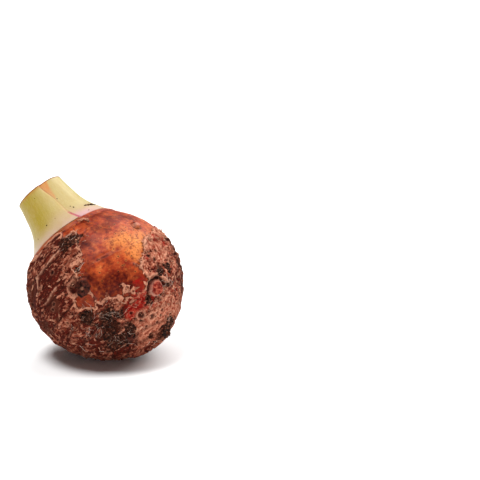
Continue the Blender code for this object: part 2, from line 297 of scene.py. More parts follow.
def corm_fields(d):
    """Everything that shapes or colours the tuber's surface, at each direction from its middle."""
    polar = np.degrees(np.arccos(np.clip(d[:, 2], -1.0, 1.0)))
    turn = np.degrees(np.arctan2(d[:, 0], -d[:, 1]))
    lip = 1.0 - smoothstep(LIP_POLAR - 3.0, LIP_POLAR + 1.0, polar)
    lip_edge = LIP_POLAR + 2.5 * grain(d, 6.0, 2, 17.0) - polar
    inside = np.maximum(window_inside(d), lip_edge * MM_PER_DEGREE)
    bare = smoothstep(-0.25, 0.25, inside)
    barked = 1.0 - bare
    field = {"inside": inside, "lip": smoothstep(-2.0, 3.0, lip_edge) * (d[:, 0] < 0.25)}
    field["left"] = bell(away_from(d, *LEFT_FLANK) / 14.0)
    field["right"] = bell(away_from(d, *RIGHT_FLANK) / 15.0)
    # Painted shade: a dark band down the right flank, where the bark turns away from the light.
    painted_shade = bell((turn - 86.0) / 13.0) * smoothstep(72.0, 96.0, polar)
    field["painted_shade"] = painted_shade * (1.0 - smoothstep(126.0, 152.0, polar))
    tone = 0.5 * grain(d, 5.0, 3, 101.0) + spots(d, TONES)
    field["bright"] = np.clip(tone, 0.0, 1.0)
    field["red"] = np.clip(-tone, 0.0, 1.0)

    share = spots(d, FLAKE_SHARES)
    flaked = smoothstep(0.24, 0.34, grain(d, (3.0, 3.0, 7.0), 5)) * (1.0 - lip)
    tatters = grain(d, (15.0, 15.0, 38.0), 3, 5.0) + 0.5 * grain(d, (44.0, 44.0, 90.0), 2, 9.0)
    tatters += 0.7 * bell((polar - 52.0) / 7.0) * grain(d, (3.0, 3.0, 60.0), 2, 19.0)
    fleck = smoothstep(-0.1, 0.16, tatters + 0.1 + 2.0 * share + 0.4 * bell(inside + 0.9) - 0.8 * flaked)
    smooth = nearness(d, SMOOTH_PATCHES, 1.0) + 0.35 * grain(d, 9.0, 2, 29.0)
    smooth = smoothstep(-0.05, 0.12, smooth) * barked
    cover = barked * (1.0 - 0.75 * flaked)
    height = cover * (0.42 + (0.24 * fleck + 0.05 * grain(d, (60.0, 60.0, 160.0), 2)) * (1.0 - smooth))
    field.update({"share": share, "fleck": fleck, "smooth": smooth})

    clod = flat_bell(away_from(d, *CLOD[:2]) / CLOD[2])
    soil = smoothstep(0.1, 0.5, nearness(d, SOIL_PATCHES, 1.25) + 0.8 * grain(d, 9.0, 4, 13.0))
    soil = np.maximum(soil * (1.0 - lip), clod)
    height += soil * (0.5 * np.clip(grain(d, 26.0, 3, 51.0) + 0.2, 0, None) - 0.45)
    height += clod * (1.1 + 0.7 * grain(d, 16.0, 3, 55.0))
    raw = smoothstep(0.15, 0.4, nearness(d, RAW_PATCHES, 1.2) + 0.5 * grain(d, 16.0, 3, 21.0))
    torn_edge = bell((inside + 0.35) / 0.4) * np.clip(0.6 + grain(d, 12.0, 2, 31.0), 0, 1.4)
    height += barked * (0.3 * torn_edge - 0.25 * raw)
    field.update({"soil": soil, "raw": raw * (1.0 - soil)})

    wander = 0.35 * grain(d, 12.0, 2, 91.0)
    ridge = np.max([bell((from_line(d, line) + wander) / 0.3) for line in RIDGES], axis=0)
    crack = np.max([bell((from_line(d, line) + wander) / 0.24) for line in CRACKS], axis=0)
    height += 0.34 * ridge - crack * (0.35 - 0.31 * bare)
    waver = 2.2 * grain(d, 1.7, 1, (7.0, 0.0, 0.0)) + 0.5 * grain(d, 14.0, 2)
    step, groove = rings(polar - waver)
    height += 0.45 * step * (0.22 + 0.78 * cover)
    crease = bell((polar - 86.5 - waver) / 0.5) * flat_bell(away_from(d, 86.5, 12) / 3.6)
    height += bare * (0.05 * grain(d, 9.0, 2, 81.0) - 0.12 * crease)
    field.update({"ridge": ridge, "crack": crack, "groove": groove * (0.25 + 0.75 * barked)})

    pit, rim = craters(d)
    keep = 0.25 + 0.75 * barked
    height += (0.14 * rim - 0.34 * pit) * keep
    bud = buds(d)
    height += bud.pop("height")
    field["pit"] = pit * keep
    field["rim"] = np.maximum(rim * barked, bud.pop("collar"))
    field.update(bud)

    root_end = away_from(d, 180, 0) / ROOT_END_RADIUS
    height += 0.7 * bell((root_end - 1.12) / 0.28) - 0.9 * (1.0 - smoothstep(0.55, 1.0, root_end))
    height += 0.1 * grain(d, 90.0, 2, 61.0) * np.clip(1.0 - root_end, 0, 1)
    pressed = 1.0 - smoothstep(*REST_SPOT, away_from(d, *down_place()))
    height = BARK_LEVEL + (height - BARK_LEVEL) * (1.0 - lip) * (1.0 - pressed)
    field["radius"] = BODY_RADIUS + (height + 0.3 * grain(d, 2.1) + spots(d, SWELLINGS)) * MM
    return field


def down_place():
    """Polar angle and turn of the point that the tuber rests on."""
    down = lean_matrix().transposed() @ Vector((0.0, 0.0, -1.0))
    return math.degrees(math.acos(down.z)), math.degrees(math.atan2(down.x, -down.y))


def slice_flat(body, point, normal):
    """Cuts off what lies beyond the plane and closes the cut with one flat face."""
    geometry = body.verts[:] + body.edges[:] + body.faces[:]
    plane = {"plane_co": point, "plane_no": normal, "clear_outer": True}
    cut = bmesh.ops.bisect_plane(body, geom=geometry, dist=1e-7, **plane)
    rim = [item for item in cut["geom_cut"] if isinstance(item, bmesh.types.BMEdge)]
    bmesh.ops.contextual_create(body, geom=rim)


def as_mesh(body, name):
    """Ends the editing of a shape and gives it back as a new mesh."""
    mesh = bpy.data.meshes.new(name)
    body.to_mesh(mesh)
    body.free()
    return mesh


def read_places(mesh):
    places = np.empty(len(mesh.vertices) * 3)
    mesh.vertices.foreach_get("co", places)
    return places.reshape(-1, 3)


def give_attribute(mesh, name, values):
    attribute = mesh.attributes.new(name, "FLOAT", "POINT")
    attribute.data.foreach_set("value", np.asarray(values, dtype=np.float32))


def finished_piece(name, mesh, material):
    """Leans the upright mesh over, smooths its shading and hands it to the frame."""
    mesh.transform(TO_WORLD)
    mesh.materials.append(material)
    mesh.shade_smooth()
    piece = bpy.data.objects.new(name, mesh)
    bpy.context.scene.collection.objects.link(piece)
    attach(piece, "root")
    return piece


class Wire:
    """A socket of a material. Arithmetic on it adds Math nodes."""

    def __init__(self, socket):
        self.socket = socket

    def math(self, operation, *values):
        finish = Finish(self.socket.id_data)
        return finish.node("ShaderNodeMath", {"operation": operation}, dict(enumerate(values)))

    def __add__(self, other):
        return self.math("ADD", self, other)

    def __sub__(self, other):
        return self.math("SUBTRACT", self, other)

    def __rsub__(self, other):
        return self.math("SUBTRACT", other, self)

    def __mul__(self, other):
        return self.math("MULTIPLY", self, other)

    def __pow__(self, other):
        return self.math("POWER", self, other)

    def between(self, low, high):
        """0 below low, 1 above high, smooth between them; low may be the higher one."""
        finish = Finish(self.socket.id_data)
        settings = {"interpolation_type": "SMOOTHSTEP"}
        return finish.node("ShaderNodeMapRange", settings, {0: self, 1: low, 2: high})


class Finish:
    """A material's node tree."""

    def __init__(self, tree):
        self.tree = tree

    def node(self, kind, settings, values, output=0):
        node = self.tree.nodes.new(kind)
        for key, value in settings.items():
            setattr(node, key, value)
        for key, value in values.items():
            if isinstance(value, Wire):
                self.tree.links.new(value.socket, node.inputs[key])
            else:
                node.inputs[key].default_value = value
        return Wire(node.outputs[output])

    def field(self, name):
        return self.node("ShaderNodeAttribute", {"attribute_name": name}, {}, "Fac")

    def mix(self, share, one, other):
        """One colour turning into the other; each is a wire or three screen values."""
        one, other = (paint if isinstance(paint, Wire) else colour(*paint) for paint in (one, other))
        return self.node("ShaderNodeMix", {"data_type": "RGBA"}, {0: share, 6: one, 7: other}, 2)

    def paint(self, surface, *layers):
        """Lays each colour over what is there by its share, in order."""
        for share, paint in layers:
            surface = self.mix(share, surface, paint)
        return surface

    def grown(self):
        """Object coordinates turned upright and centred on the tuber's middle, in millimetres."""
        upright = TO_WORLD.inverted()
        place = self.node("ShaderNodeTexCoord", {}, {}, "Object")
        values = {"Vector": place, "Location": upright.translation / MM, "Rotation": upright.to_euler()}
        values["Scale"] = (1 / MM,) * 3
        return self.node("ShaderNodeMapping", {"vector_type": "POINT"}, values)

    def stretched(self, place, scale):
        return self.node("ShaderNodeVectorMath", {"operation": "MULTIPLY"}, {0: place, 1: scale})

    def noise(self, place, scale, detail=3.0, roughness=0.55):
        values = {"Vector": place, "Scale": scale, "Detail": detail, "Roughness": roughness}
        return self.node("ShaderNodeTexNoise", {}, values, "Fac")

    def cells(self, place, scale, output="Distance"):
        return self.node("ShaderNodeTexVoronoi", {}, {"Vector": place, "Scale": scale}, output)

    def bump(self, strength, distance, height):
        return self.node("ShaderNodeBump", {}, {"Strength": strength, "Distance": distance, "Height": height})

    def shaken(self, place, scale, reach):
        """Coordinates pushed about by noise, so that the cells they feed get ragged edges."""
        values = {"Vector": place, "Scale": scale, "Detail": 3.0}
        push = self.node("ShaderNodeTexNoise", {}, values, "Color")
        values = {0: push, 1: (reach,) * 3, 2: place}
        return self.node("ShaderNodeVectorMath", {"operation": "MULTIPLY_ADD"}, values)


LIGHT_LEVEL = 1.42


def colour(red, green, blue):
    """A linear colour that the studio light shows as about these screen values of 0 to 255."""
    linear = [((v / 255 + 0.055) / 1.055) ** 2.4 if v > 10 else v / 3295 for v in (red, green, blue)]
    return (*(level / LIGHT_LEVEL for level in linear), 1.0)


def new_finish(name):
    material = bpy.data.materials.new(name)
    material.use_nodes = True
    finish = Finish(material.node_tree)
    return material, finish, material.node_tree.nodes["Principled BSDF"]


def connect(finish, shader, **values):
    """Links or sets inputs of the shader, whose names have underscores here in place of spaces."""
    for name, value in values.items():
        entry = shader.inputs[name.replace("_", " ")]
        if isinstance(value, Wire):
            finish.tree.links.new(value.socket, entry)
        else:
            entry.default_value = value


def bark_material():
    material, finish, shader = new_finish("papery bark, bare skin and soil")
    place = finish.grown()
    field = finish.field
    inside = field("inside")
    share = field("share")
    soil = field("soil")
    groove = field("groove")
    right = field("right")
    smooth = field("smooth")
    red = field("red")
    crack = field("crack")
    dark_bud = field("dark bud")

    blotch = finish.noise(place, 0.32, 5.0, 0.6)
    patchy = finish.noise(place, 0.85, 5.0, 0.62)
    fine = finish.noise(place, 2.6, 4.0, 0.65)
    streak = finish.noise(finish.stretched(place, (0.5, 0.5, 2.2)), 1.1, 4.0, 0.6)
    chips = finish.cells(finish.shaken(finish.stretched(place, (0.75, 0.75, 1.25)), 1.7, 1.3), 1.25, "Color")
    dots = finish.cells(place, 0.62)
    pricked = finish.cells(place, 0.62, "Color").between(0.3, 0.4)

    skin = finish.paint(
        finish.mix(blotch.between(0.36, 0.64), (168, 52, 20), (208, 88, 38)),
        (field("bright") * blotch.between(0.2, 0.5), (246, 150, 74)),
        (patchy.between(0.44, 0.3) * 0.4, (236, 132, 66)),
        (patchy.between(0.51, 0.63) * 0.7, (116, 30, 14)),
        (red * (patchy.between(0.25, 0.6) * 0.5 + 0.5), (76, 10, 5)),
        (streak.between(0.5, 0.68) * 0.45, (124, 42, 22)),
        (groove * 0.45, (96, 32, 18)),
        (field("lip") * 0.6, (158, 88, 54)),
        (dots.between(0.34, 0.22) * pricked * (1.0 - red) * 0.35, (240, 150, 80)),
        ((dots + fine * 0.1).between(0.25, 0.17) * pricked * 0.9, (50, 16, 9)),
    )

    under = finish.paint(
        finish.mix(streak.between(0.32, 0.68), (36, 8, 5), (100, 27, 16)),
        (fine.between(0.5, 0.7) * 0.6, (140, 54, 34)),
    )
    tan = finish.paint(
        finish.mix(patchy.between(0.3, 0.62), (242, 160, 126), (134, 56, 36)),
        (right * patchy.between(0.3, 0.6) * 0.7, (224, 112, 80)),
        (fine.between(0.44, 0.62) * 0.6, (108, 48, 34)),
    )
    # Worn smooth bark, darkened towards the left flank's middle as painted shade.
    worn_and_shaded = finish.mix(field("left"), (120, 56, 36), (70, 28, 19))
    chipped = field("fleck") * 0.36 + chips * 0.7 + blotch * 0.5 + (fine - 0.5) * 0.6 + share
    fibres = finish.noise(finish.stretched(place, (1.15, 1.15, 0.45)), 1.0, 4.0, 0.7) + share * 0.2
    torn = (inside + fine * 0.6).between(-0.9, -0.3) * (fine + patchy * 0.8).between(0.6, 0.9)
    # Painted shade on the right flank, broken up by noise and bark chips.
    painted_shade = (field("painted_shade") + (patchy - 0.5) * 2.2 + (chips - 0.5) * 0.6).between(0.45, 0.8)
    bark = finish.paint(
        under,
        (chipped.between(0.79, 0.85), tan),
        (right * fibres.between(0.55, 0.6) * 0.85, (250, 178, 144)),
        (right * fibres.between(0.51, 0.45) * 0.9, (104, 18, 10)),
        (right * patchy.between(0.53, 0.6) * 0.6, (146, 36, 26)),
        (streak.between(0.62, 0.5) * 0.25, (84, 34, 24)),
        (smooth * 0.9, worn_and_shaded),
        (groove * (1.0 - right * 0.8) * 0.6, (40, 15, 10)),
        (torn * share.between(-0.3, -0.12) * 0.85, (230, 158, 126)),
        (field("rim") * (patchy.between(0.35, 0.6) * 0.5 + 0.4), (228, 158, 128)),
        (field("ridge") * 0.85, (232, 168, 138)),
        (painted_shade * (1.0 - chipped.between(0.95, 1.05) * 0.7) * 0.85, (56, 20, 14)),
    )

    border = inside + (fine - 0.5) * 0.5
    edge = border.between(-0.12, 0.12)
    stub = finish.mix(patchy.between(0.36, 0.56), (206, 98, 74), (124, 22, 18))
    scab = finish.mix(patchy.between(0.36, 0.6), (18, 7, 5), (92, 44, 34))
    earth = finish.mix(fine.between(0.35, 0.65), (20, 6, 3), (90, 42, 28))
    surface = finish.paint(
        finish.mix(edge, bark, skin),
        # Painted shadow: a thin dark band on the skin along the bark's torn edge.
        (border.between(0.55, 0.05) * edge * 0.75, (60, 20, 12)),
        (crack * 0.9, (66, 14, 8)),
        (field("raw") * fine.between(0.35, 0.6) * 0.9, (170, 20, 15)),
        (field("bud") * 0.9, stub),
        (dark_bud, scab),
        # Painted shade in the bud grooves and under the upper bud.
        (field("ring") * 0.9, (26, 11, 8)),
        # Pale curled rim round most buds, and a painted highlight on the upper bud.
        (field("wall") * 0.8, (226, 164, 140)),
        (field("pit") * 0.9, (28, 10, 7)),
        ((soil + (chips - 0.5) * 0.5 + (patchy - 0.5) * 1.2).between(0.3, 0.8), earth),
    )

    relief = fine * 0.2 + streak * 0.12 + chipped.between(0.74, 0.9) * 0.3 * (1.0 - smooth)
    bump = finish.bump(0.9, 0.5 * MM, relief * (1.0 - edge * 0.8))
    clean = edge * (1.0 - soil)
    marks = red.math("MAXIMUM", crack, dark_bud)
    gloss = clean * (1.0 - marks) * (1.0 - red)
    dull = finish.node("ShaderNodeMix", {"data_type": "FLOAT"}, {0: clean, 2: 0.9, 3: 0.45})
    connect(finish, shader, Base_Color=surface, Roughness=dull, Coat_Weight=gloss * 0.2, Normal=bump)
    connect(finish, shader, Specular_IOR_Level=0.06, Coat_Roughness=0.45)
    return material


def tuber_mesh():
    body = bmesh.new()
    bmesh.ops.create_icosphere(body, subdivisions=1, radius=1.0)
    bmesh.ops.subdivide_edges(body, edges=body.edges[:], cuts=BODY_SPLIT - 1, use_grid_fill=True)
    mesh = as_mesh(body, "tuber")
    directions = read_places(mesh)
    directions /= np.linalg.norm(directions, axis=1)[:, None]
    fields = corm_fields(directions)
    mesh.vertices.foreach_set("co", (directions * fields.pop("radius")[:, None]).ravel())
    for name, values in fields.items():
        give_attribute(mesh, name, values)
    body = bmesh.new()
    body.from_mesh(mesh)
    slice_flat(body, Vector((0.0, 0.0, SEAT_HEIGHT)), Vector((0.0, 0.0, 1.0)))
    down = lean_matrix().transposed() @ Vector((0.0, 0.0, -1.0))
    slice_flat(body, down * LIE_HEIGHT, down)
    bmesh.ops.recalc_face_normals(body, faces=body.faces[:])
    body.to_mesh(mesh)
    body.free()
    return mesh


tuber = finished_piece("tuber", tuber_mesh(), bark_material())
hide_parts("corm")

# The outer leaf-stalk base
# A fleshy, pale green-yellow sheath, sliced off short. It wraps the inner stalk from its front margin round
# the left and the back; the cut has dried to a thin brown line, with a rusty stain beside the margin.
CUT_HEIGHT = 40.2
SEAT = 19.6
GAP = 0.3
CUT_SLOPE = (0.035, 0.085)
NECK_RADIUS = 8.7
FLARE = 7.3
FLARE_FALL = 7.2
FLARE_POWER = 1.25
NECK_TAPER = 0.45
NECK_OVALNESS = 0.02
NECK_LEAN = -0.3
SHEATH_WALL = 1.2
SHEATH_EDGE_WALL = 0.4
FRONT_MARGIN = 18.0
FOOT_SWEEP = 3.5
TOP_SWEEP = 9.5
BACK_MARGIN = -232.0
EDGE_SPAN = 24.0


def neck_radius(height):
    above = np.clip(height - SEAT, 0.0, None)
    drawn_in = NECK_TAPER * smoothstep(CUT_HEIGHT - 7.0, CUT_HEIGHT, height)
    return NECK_RADIUS + FLARE * np.exp(-((above / FLARE_FALL) ** FLARE_POWER)) - drawn_in


def outline_slope(height):
    """Radial length of one unit of wall measured square to the outline."""
    share = np.clip(height - SEAT, 0.0, None) / FLARE_FALL
    fall = FLARE * FLARE_POWER / FLARE_FALL * share ** (FLARE_POWER - 1.0)
    fall = fall * np.exp(-(share**FLARE_POWER))
    return np.sqrt(1.0 + fall * fall)


def front_margin(height):
    foot = 1.0 - smoothstep(SEAT, SEAT + 5.0, height)
    return FRONT_MARGIN + FOOT_SWEEP * foot - TOP_SWEEP * smoothstep(SEAT + 12.0, CUT_HEIGHT, height)


def sheath_wall(turn, height):
    from_margin = np.minimum(front_margin(height) - turn, turn - BACK_MARGIN)
    return SHEATH_EDGE_WALL + (SHEATH_WALL - SHEATH_EDGE_WALL) * smoothstep(0.0, EDGE_SPAN, from_margin)


def shoot_places(turn, height, set_back):
    """Places on the shoot, this far inside its outline and measured square to it."""
    oval = 1.0 + NECK_OVALNESS * np.cos(np.radians(2.0 * turn - 80.0))
    radius = neck_radius(height) * oval - set_back * outline_slope(height)
    drift = NECK_LEAN * (np.clip(height - SEAT, 0.0, None) / (CUT_HEIGHT - SEAT)) ** 1.5
    angle = np.radians(turn)
    x = radius * np.sin(angle) + drift
    y = -radius * np.cos(angle)
    slant = (CUT_SLOPE[0] * x + CUT_SLOPE[1] * y) * smoothstep(SEAT + 4.0, CUT_HEIGHT, height)
    return np.stack((x, y, height + slant), axis=1)


def vein(turn, height, shift):
    """Shallow lengthwise ribs of a leaf stalk."""
    angle = np.radians(turn)
    round_the_shoot = np.stack((np.sin(angle) * 9, np.cos(angle) * 9, height * 0.05), axis=1)
    return grain(round_the_shoot, 1.3, 2, shift)


def edges_along(body, axis):
    return [edge for edge in body.edges if abs(edge.verts[0].co[axis] - edge.verts[1].co[axis]) > 0.5]


def faces_outwards(mesh):
    shape = bmesh.new()
    shape.from_mesh(mesh)
    bmesh.ops.recalc_face_normals(shape, faces=shape.faces[:])
    shape.to_mesh(mesh)
    shape.free()


def sheath_mesh():
    sheath = bmesh.new()
    bmesh.ops.create_cube(sheath, size=1.0)
    for axis, steps in ((0, 200), (2, 72), (1, 4)):
        along = edges_along(sheath, axis)
        bmesh.ops.subdivide_edges(sheath, edges=along, cuts=steps - 1, use_grid_fill=True)
    mesh = as_mesh(sheath, "outer sheath")
    block = read_places(mesh)
    rise = block[:, 2] + 0.5
    height = SEAT + GAP + (CUT_HEIGHT - SEAT - GAP) * rise
    turn = BACK_MARGIN + (front_margin(height) - BACK_MARGIN) * (block[:, 0] + 0.5)
    inward = block[:, 1] + 0.5
    margin = np.minimum(front_margin(height) - turn, turn - BACK_MARGIN)
    rounding = 0.12 * (1.0 - smoothstep(0.0, 3.0, margin)) * (1.0 - 2.0 * inward)
    ribs = 0.05 * vein(turn, height, 3.0) * (1.0 - inward)
    places = shoot_places(turn, height, sheath_wall(turn, height) * inward + rounding - ribs)
    mesh.vertices.foreach_set("co", (places * MM).ravel())
    give_attribute(mesh, "turn", turn)
    give_attribute(mesh, "rise", rise)
    give_attribute(mesh, "inward", inward)
    give_attribute(mesh, "margin", front_margin(height) - turn)
    faces_outwards(mesh)
    return mesh


def stalk_material(name, is_sheath):
    material, finish, shader = new_finish(name)
    place = finish.grown()
    turn = finish.field("turn")
    rise = finish.field("rise")
    inward = finish.field("inward")
    margin = finish.field("margin")
    fine = finish.noise(place, 1.6, 4.0, 0.6)
    blotch = finish.noise(place, 0.22, 3.0, 0.5)
    fibre = finish.noise(finish.stretched(place, (3.0, 3.0, 0.22)), 1.0, 3.0, 0.6)

    flesh = finish.mix(rise.between(0.05, 0.5), (210, 180, 148), (200, 176, 104))
    if is_sheath:
        flesh = finish.paint(
            flesh,
            (turn.between(10.0, -40.0) * rise.between(0.0, 0.35) * 0.95, (178, 152, 36)),
            (turn.between(-60.0, -80.0) * rise.between(0.5, 0.2) * 0.45, (206, 192, 190)),
        )
    else:
        flesh = finish.paint(
            flesh,
            (turn.between(20.0, 45.0) * rise.between(0.1, 0.35), (204, 184, 126)),
            (turn.between(52.0, 78.0) * rise.between(0.04, 0.3) * 0.6, (186, 170, 88)),
        )
    flesh = finish.paint(
        flesh,
        (blotch.between(0.42, 0.62) * 0.3, (192, 160, 88)),
        (fibre.between(0.45, 0.7) * 0.2, (222, 206, 146)),
        (rise.between(0.16, 0.0) * fine.between(0.3, 0.7) * 0.4, (214, 168, 168)),
    )
    wander = (fine - 0.5) * 6.0
    if is_sheath:
        stain = (margin + wander).between(2.5, 0.5) * rise.between(0.56, 0.72) * 0.8
        pink = (margin + wander * 0.5).between(2.6, 0.8) * rise.between(0.26, 0.18)
        rust = rise.between(0.92, 0.99) * (turn + wander * 2.0).between(-75.0, -20.0)
    else:
        beside = margin * -1.0
        stain = (beside - (rise - 0.57) * 50.0 + wander).between(3.0, -3.0) * rise.between(0.55, 0.62)
        blush = (beside + wander).between(40.0, 10.0) * rise.between(0.2, 0.06)
        pink = (beside + wander * 0.5).between(4.5, 1.5) * rise.between(0.28, 0.18)
        flesh = finish.mix(blush * 0.7, flesh, (222, 172, 182))
        rust = rise.between(0.97, 0.99) * 0.4
    line = margin.math("ABSOLUTE", margin).between(1.6, 0.4) * (fine + 0.3).between(0.4, 0.8)
    pores = finish.cells(place, 2.6).between(0.12, 0.3)
    face = finish.paint(
        finish.mix(pores, (120, 82, 48), (212, 196, 150)),
        (blotch.between(0.5, 0.7) * 0.6, (168, 104, 62)),
    )
    flesh = finish.paint(
        flesh,
        (rust * 0.55, (204, 122, 56)),
        (stain * (fibre.between(0.3, 0.6) * 0.6 + 0.3), (220, 136, 62)),
        (line * 0.5, (188, 112, 74)),
        (line * rise.between(0.5, 0.7) * 0.6, (132, 68, 32)),
        (pink * 0.85, (184, 44, 84)),
        ((rise + (fine - 0.5) * 0.024).between(0.978, 0.99) * 0.85, (108, 44, 22)),
        (rise.between(0.9985, 0.9995) * inward.between(0.02, 0.12), face),
    )
    bump = finish.bump(0.35, 0.3 * MM, fibre * 0.5 + fine * 0.25)
    connect(finish, shader, Base_Color=flesh, Normal=bump, Roughness=0.42, Specular_IOR_Level=0.2)
    connect(finish, shader, Subsurface_Weight=0.25, Subsurface_Radius=(0.9, 0.7, 0.3))
    connect(finish, shader, Subsurface_Scale=1.5 * MM)
    return material


sheath_finish = stalk_material("outer sheath flesh", True)
outer_sheath = finished_piece("sheath", sheath_mesh(), sheath_finish)
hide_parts("outer_sheath")

# The inner leaf stalk
# The next leaf's stalk, rolled tight inside the sheath and cut with it. It swells out between the sheath's
# margins; its cut face shows the rolled layers and the spongy air channels between them.
WINDOW_BULGE = 0.35
WINDOW_CLEARANCE = 1.5
WINDOW_EASE = 34.0
CUT_RINGS = 26


def stalk_set_back(turn, height):
    past_front = (turn - front_margin(height)) % 360.0
    window = (BACK_MARGIN - front_margin(height)) % 360.0
    under = sheath_wall(front_margin(height) + past_front - 360.0, height) + GAP
    from_margin = np.minimum(past_front, window - past_front) - WINDOW_CLEARANCE
    swollen = smoothstep(0.0, WINDOW_EASE, from_margin)
    bulge = WINDOW_BULGE * smoothstep(SEAT, SEAT + 5.0, height)
    shown = (SHEATH_EDGE_WALL + 0.12) * (1.0 - swollen) - bulge * swollen
    return np.where(past_front > window, under, shown)


def stalk_mesh():
    stalk = bmesh.new()
    bmesh.ops.create_cone(stalk, cap_ends=True, segments=220, radius1=1.0, radius2=1.0, depth=1.0)
    bmesh.ops.subdivide_edges(stalk, edges=edges_along(stalk, 2), cuts=71, use_grid_fill=True)
    top = [face for face in stalk.faces if face.normal.z > 0.9]
    for _ in range(CUT_RINGS - 1):
        bmesh.ops.inset_region(stalk, faces=top, thickness=1.0 / CUT_RINGS)
    mesh = as_mesh(stalk, "inner stalk")
    unit = read_places(mesh)
    share = np.hypot(unit[:, 0], unit[:, 1])
    rise = unit[:, 2] + 0.5
    turn = np.degrees(np.arctan2(unit[:, 0], -unit[:, 1]))
    height = SEAT + GAP + (CUT_HEIGHT - SEAT - GAP) * rise
    set_back = stalk_set_back(turn, height) - 0.05 * vein(turn, height, 17.0)
    places = shoot_places(turn, height, set_back)
    on_cut = (rise > 0.999) & (share < 0.999)
    layer = (share * 4.2 + turn / 360.0) % 1.0
    groove = bell(np.minimum(layer, 1.0 - layer) / 0.09)
    axis_x = NECK_LEAN
    places[:, 0] = np.where(on_cut, axis_x + (places[:, 0] - axis_x) * share, places[:, 0])
    places[:, 1] = np.where(on_cut, places[:, 1] * share, places[:, 1])
    cut_plane = CUT_HEIGHT + CUT_SLOPE[0] * places[:, 0] + CUT_SLOPE[1] * places[:, 1]
    sunken = 0.25 * groove * smoothstep(0.04, 0.2, share) + 0.1 * np.clip(grain(places, 0.6, 2), 0, 1)
    sunken = sunken * (1.0 - smoothstep(0.9, 1.0, share))
    places[:, 2] = np.where(on_cut, cut_plane - sunken, places[:, 2])
    mesh.vertices.foreach_set("co", (places * MM).ravel())
    give_attribute(mesh, "turn", turn)
    give_attribute(mesh, "rise", rise)
    give_attribute(mesh, "inward", np.where(on_cut, 1.0, 0.0))
    give_attribute(mesh, "margin", -((turn - front_margin(height)) % 360.0))
    faces_outwards(mesh)
    return mesh


stalk_finish = stalk_material("inner stalk flesh", False)
inner_stalk = finished_piece("stalk", stalk_mesh(), stalk_finish)
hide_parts("inner_stalk")

# Loose bark shreds
# Thin curled tatters of old leaf base, still attached along one end where the bark has torn, mostly round
# the bare window, with more of them lying along the rings.
SHRED_STEPS = 6
SHRED_THICKNESS = 0.06
BUD_CLEARANCE = 3.4


def surface_places(directions, lift):
    """Upright places over the tuber's surface, in millimetres."""
    return directions * (corm_fields(directions)["radius"][:, None] / MM + lift)


def steepest(directions):
    """Tangent that points the shortest way into the bare window."""
    slope = np.zeros_like(directions)
    here = window_inside(directions)
    for axis in np.eye(3):
        there = directions + axis * 0.02
        there /= np.linalg.norm(there, axis=1)[:, None]
        slope += (window_inside(there) - here)[:, None] * axis
    slope -= np.sum(slope * directions, axis=1)[:, None] * directions
    return slope / np.linalg.norm(slope, axis=1)[:, None]


def random_directions(count, seed, lowest=-0.97, highest=0.7):
    draw = np.random.default_rng(seed)
    z = draw.uniform(lowest, highest, count)
    turn = draw.uniform(-math.pi, math.pi, count)
    flat = np.sqrt(1.0 - z * z)
    return np.stack((flat * np.sin(turn), -flat * np.cos(turn), z), axis=1)


def strewn(name, template, shapes, seed):
    """One mesh of copies of the template, one for each list of places that stays above the floor."""
    gathered = bmesh.new()
    *slope, start = TO_WORLD[2]
    shapes = [places for places in shapes if (places @ np.array(slope)).min() + start / MM > 0.02]
    for places in shapes:
        template.vertices.foreach_set("co", (places * MM).ravel())
        gathered.from_mesh(template)
    mesh = as_mesh(gathered, name)
    draw = np.random.default_rng(seed)
    shades = draw.uniform(0.0, 1.0, len(shapes))
    give_attribute(mesh, "shade", np.repeat(shades, len(template.vertices)))
    return mesh


def shred_template():
    shape = bmesh.new()
    bmesh.ops.create_grid(shape, x_segments=SHRED_STEPS, y_segments=2, size=0.5)
    bmesh.ops.solidify(shape, geom=shape.faces[:], thickness=SHRED_THICKNESS)
    return as_mesh(shape, "one shred")


def shred_shapes(template, roots, headings, seed, lengths, curls):
    draw = np.random.default_rng(seed)
    block = read_places(template)
    along = block[:, 0] + 0.5
    across = block[:, 1]
    over = block[:, 2] / SHRED_THICKNESS
    feet = surface_places(roots, -0.05)
    shapes = []
    for foot, up, heading in zip(feet, roots, headings):
        length = draw.uniform(*lengths)
        width = length * draw.uniform(0.3, 0.6)
        bend = draw.uniform(*curls)
        side = np.cross(up, heading)
        taper = 1.0 - 0.75 * along ** draw.uniform(1.0, 3.0)
        angle = bend * along
        forward = length * np.where(abs(bend) > 0.05, np.sin(angle) / bend, along)
        upward = length * np.where(abs(bend) > 0.05, (1.0 - np.cos(angle)) / bend, 0.0)
        cup = draw.uniform(-0.4, 0.7) * (across * 2.0) ** 2 * width * 0.3
        skew = draw.uniform(-0.4, 0.4) * length * along**2
        place = foot + heading * forward[:, None] + up * (upward + cup + over * 0.05 + 0.03)[:, None]
        shapes.append(place + side * (across * width * taper + skew)[:, None])
    return shapes


def shred_material():
    material, finish, shader = new_finish("dry bark shreds")
    place = finish.grown()
    shade = finish.field("shade")
    fine = finish.noise(finish.stretched(place, (1.0, 1.0, 3.0)), 1.6, 3.0, 0.6)
    shred = finish.mix(shade, (134, 64, 44), (230, 160, 128))
    shred = finish.mix(fine.between(0.45, 0.65) * 0.6, shred, (84, 32, 22))
    connect(finish, shader, Base_Color=shred, Roughness=0.9, Specular_IOR_Level=0.12)
    return material


def off_buds(directions):
    from_bud = [away_from(directions, *bud[:2]) for bud in BUDS.values()]
    return np.min(from_bud, axis=0) > BUD_CLEARANCE


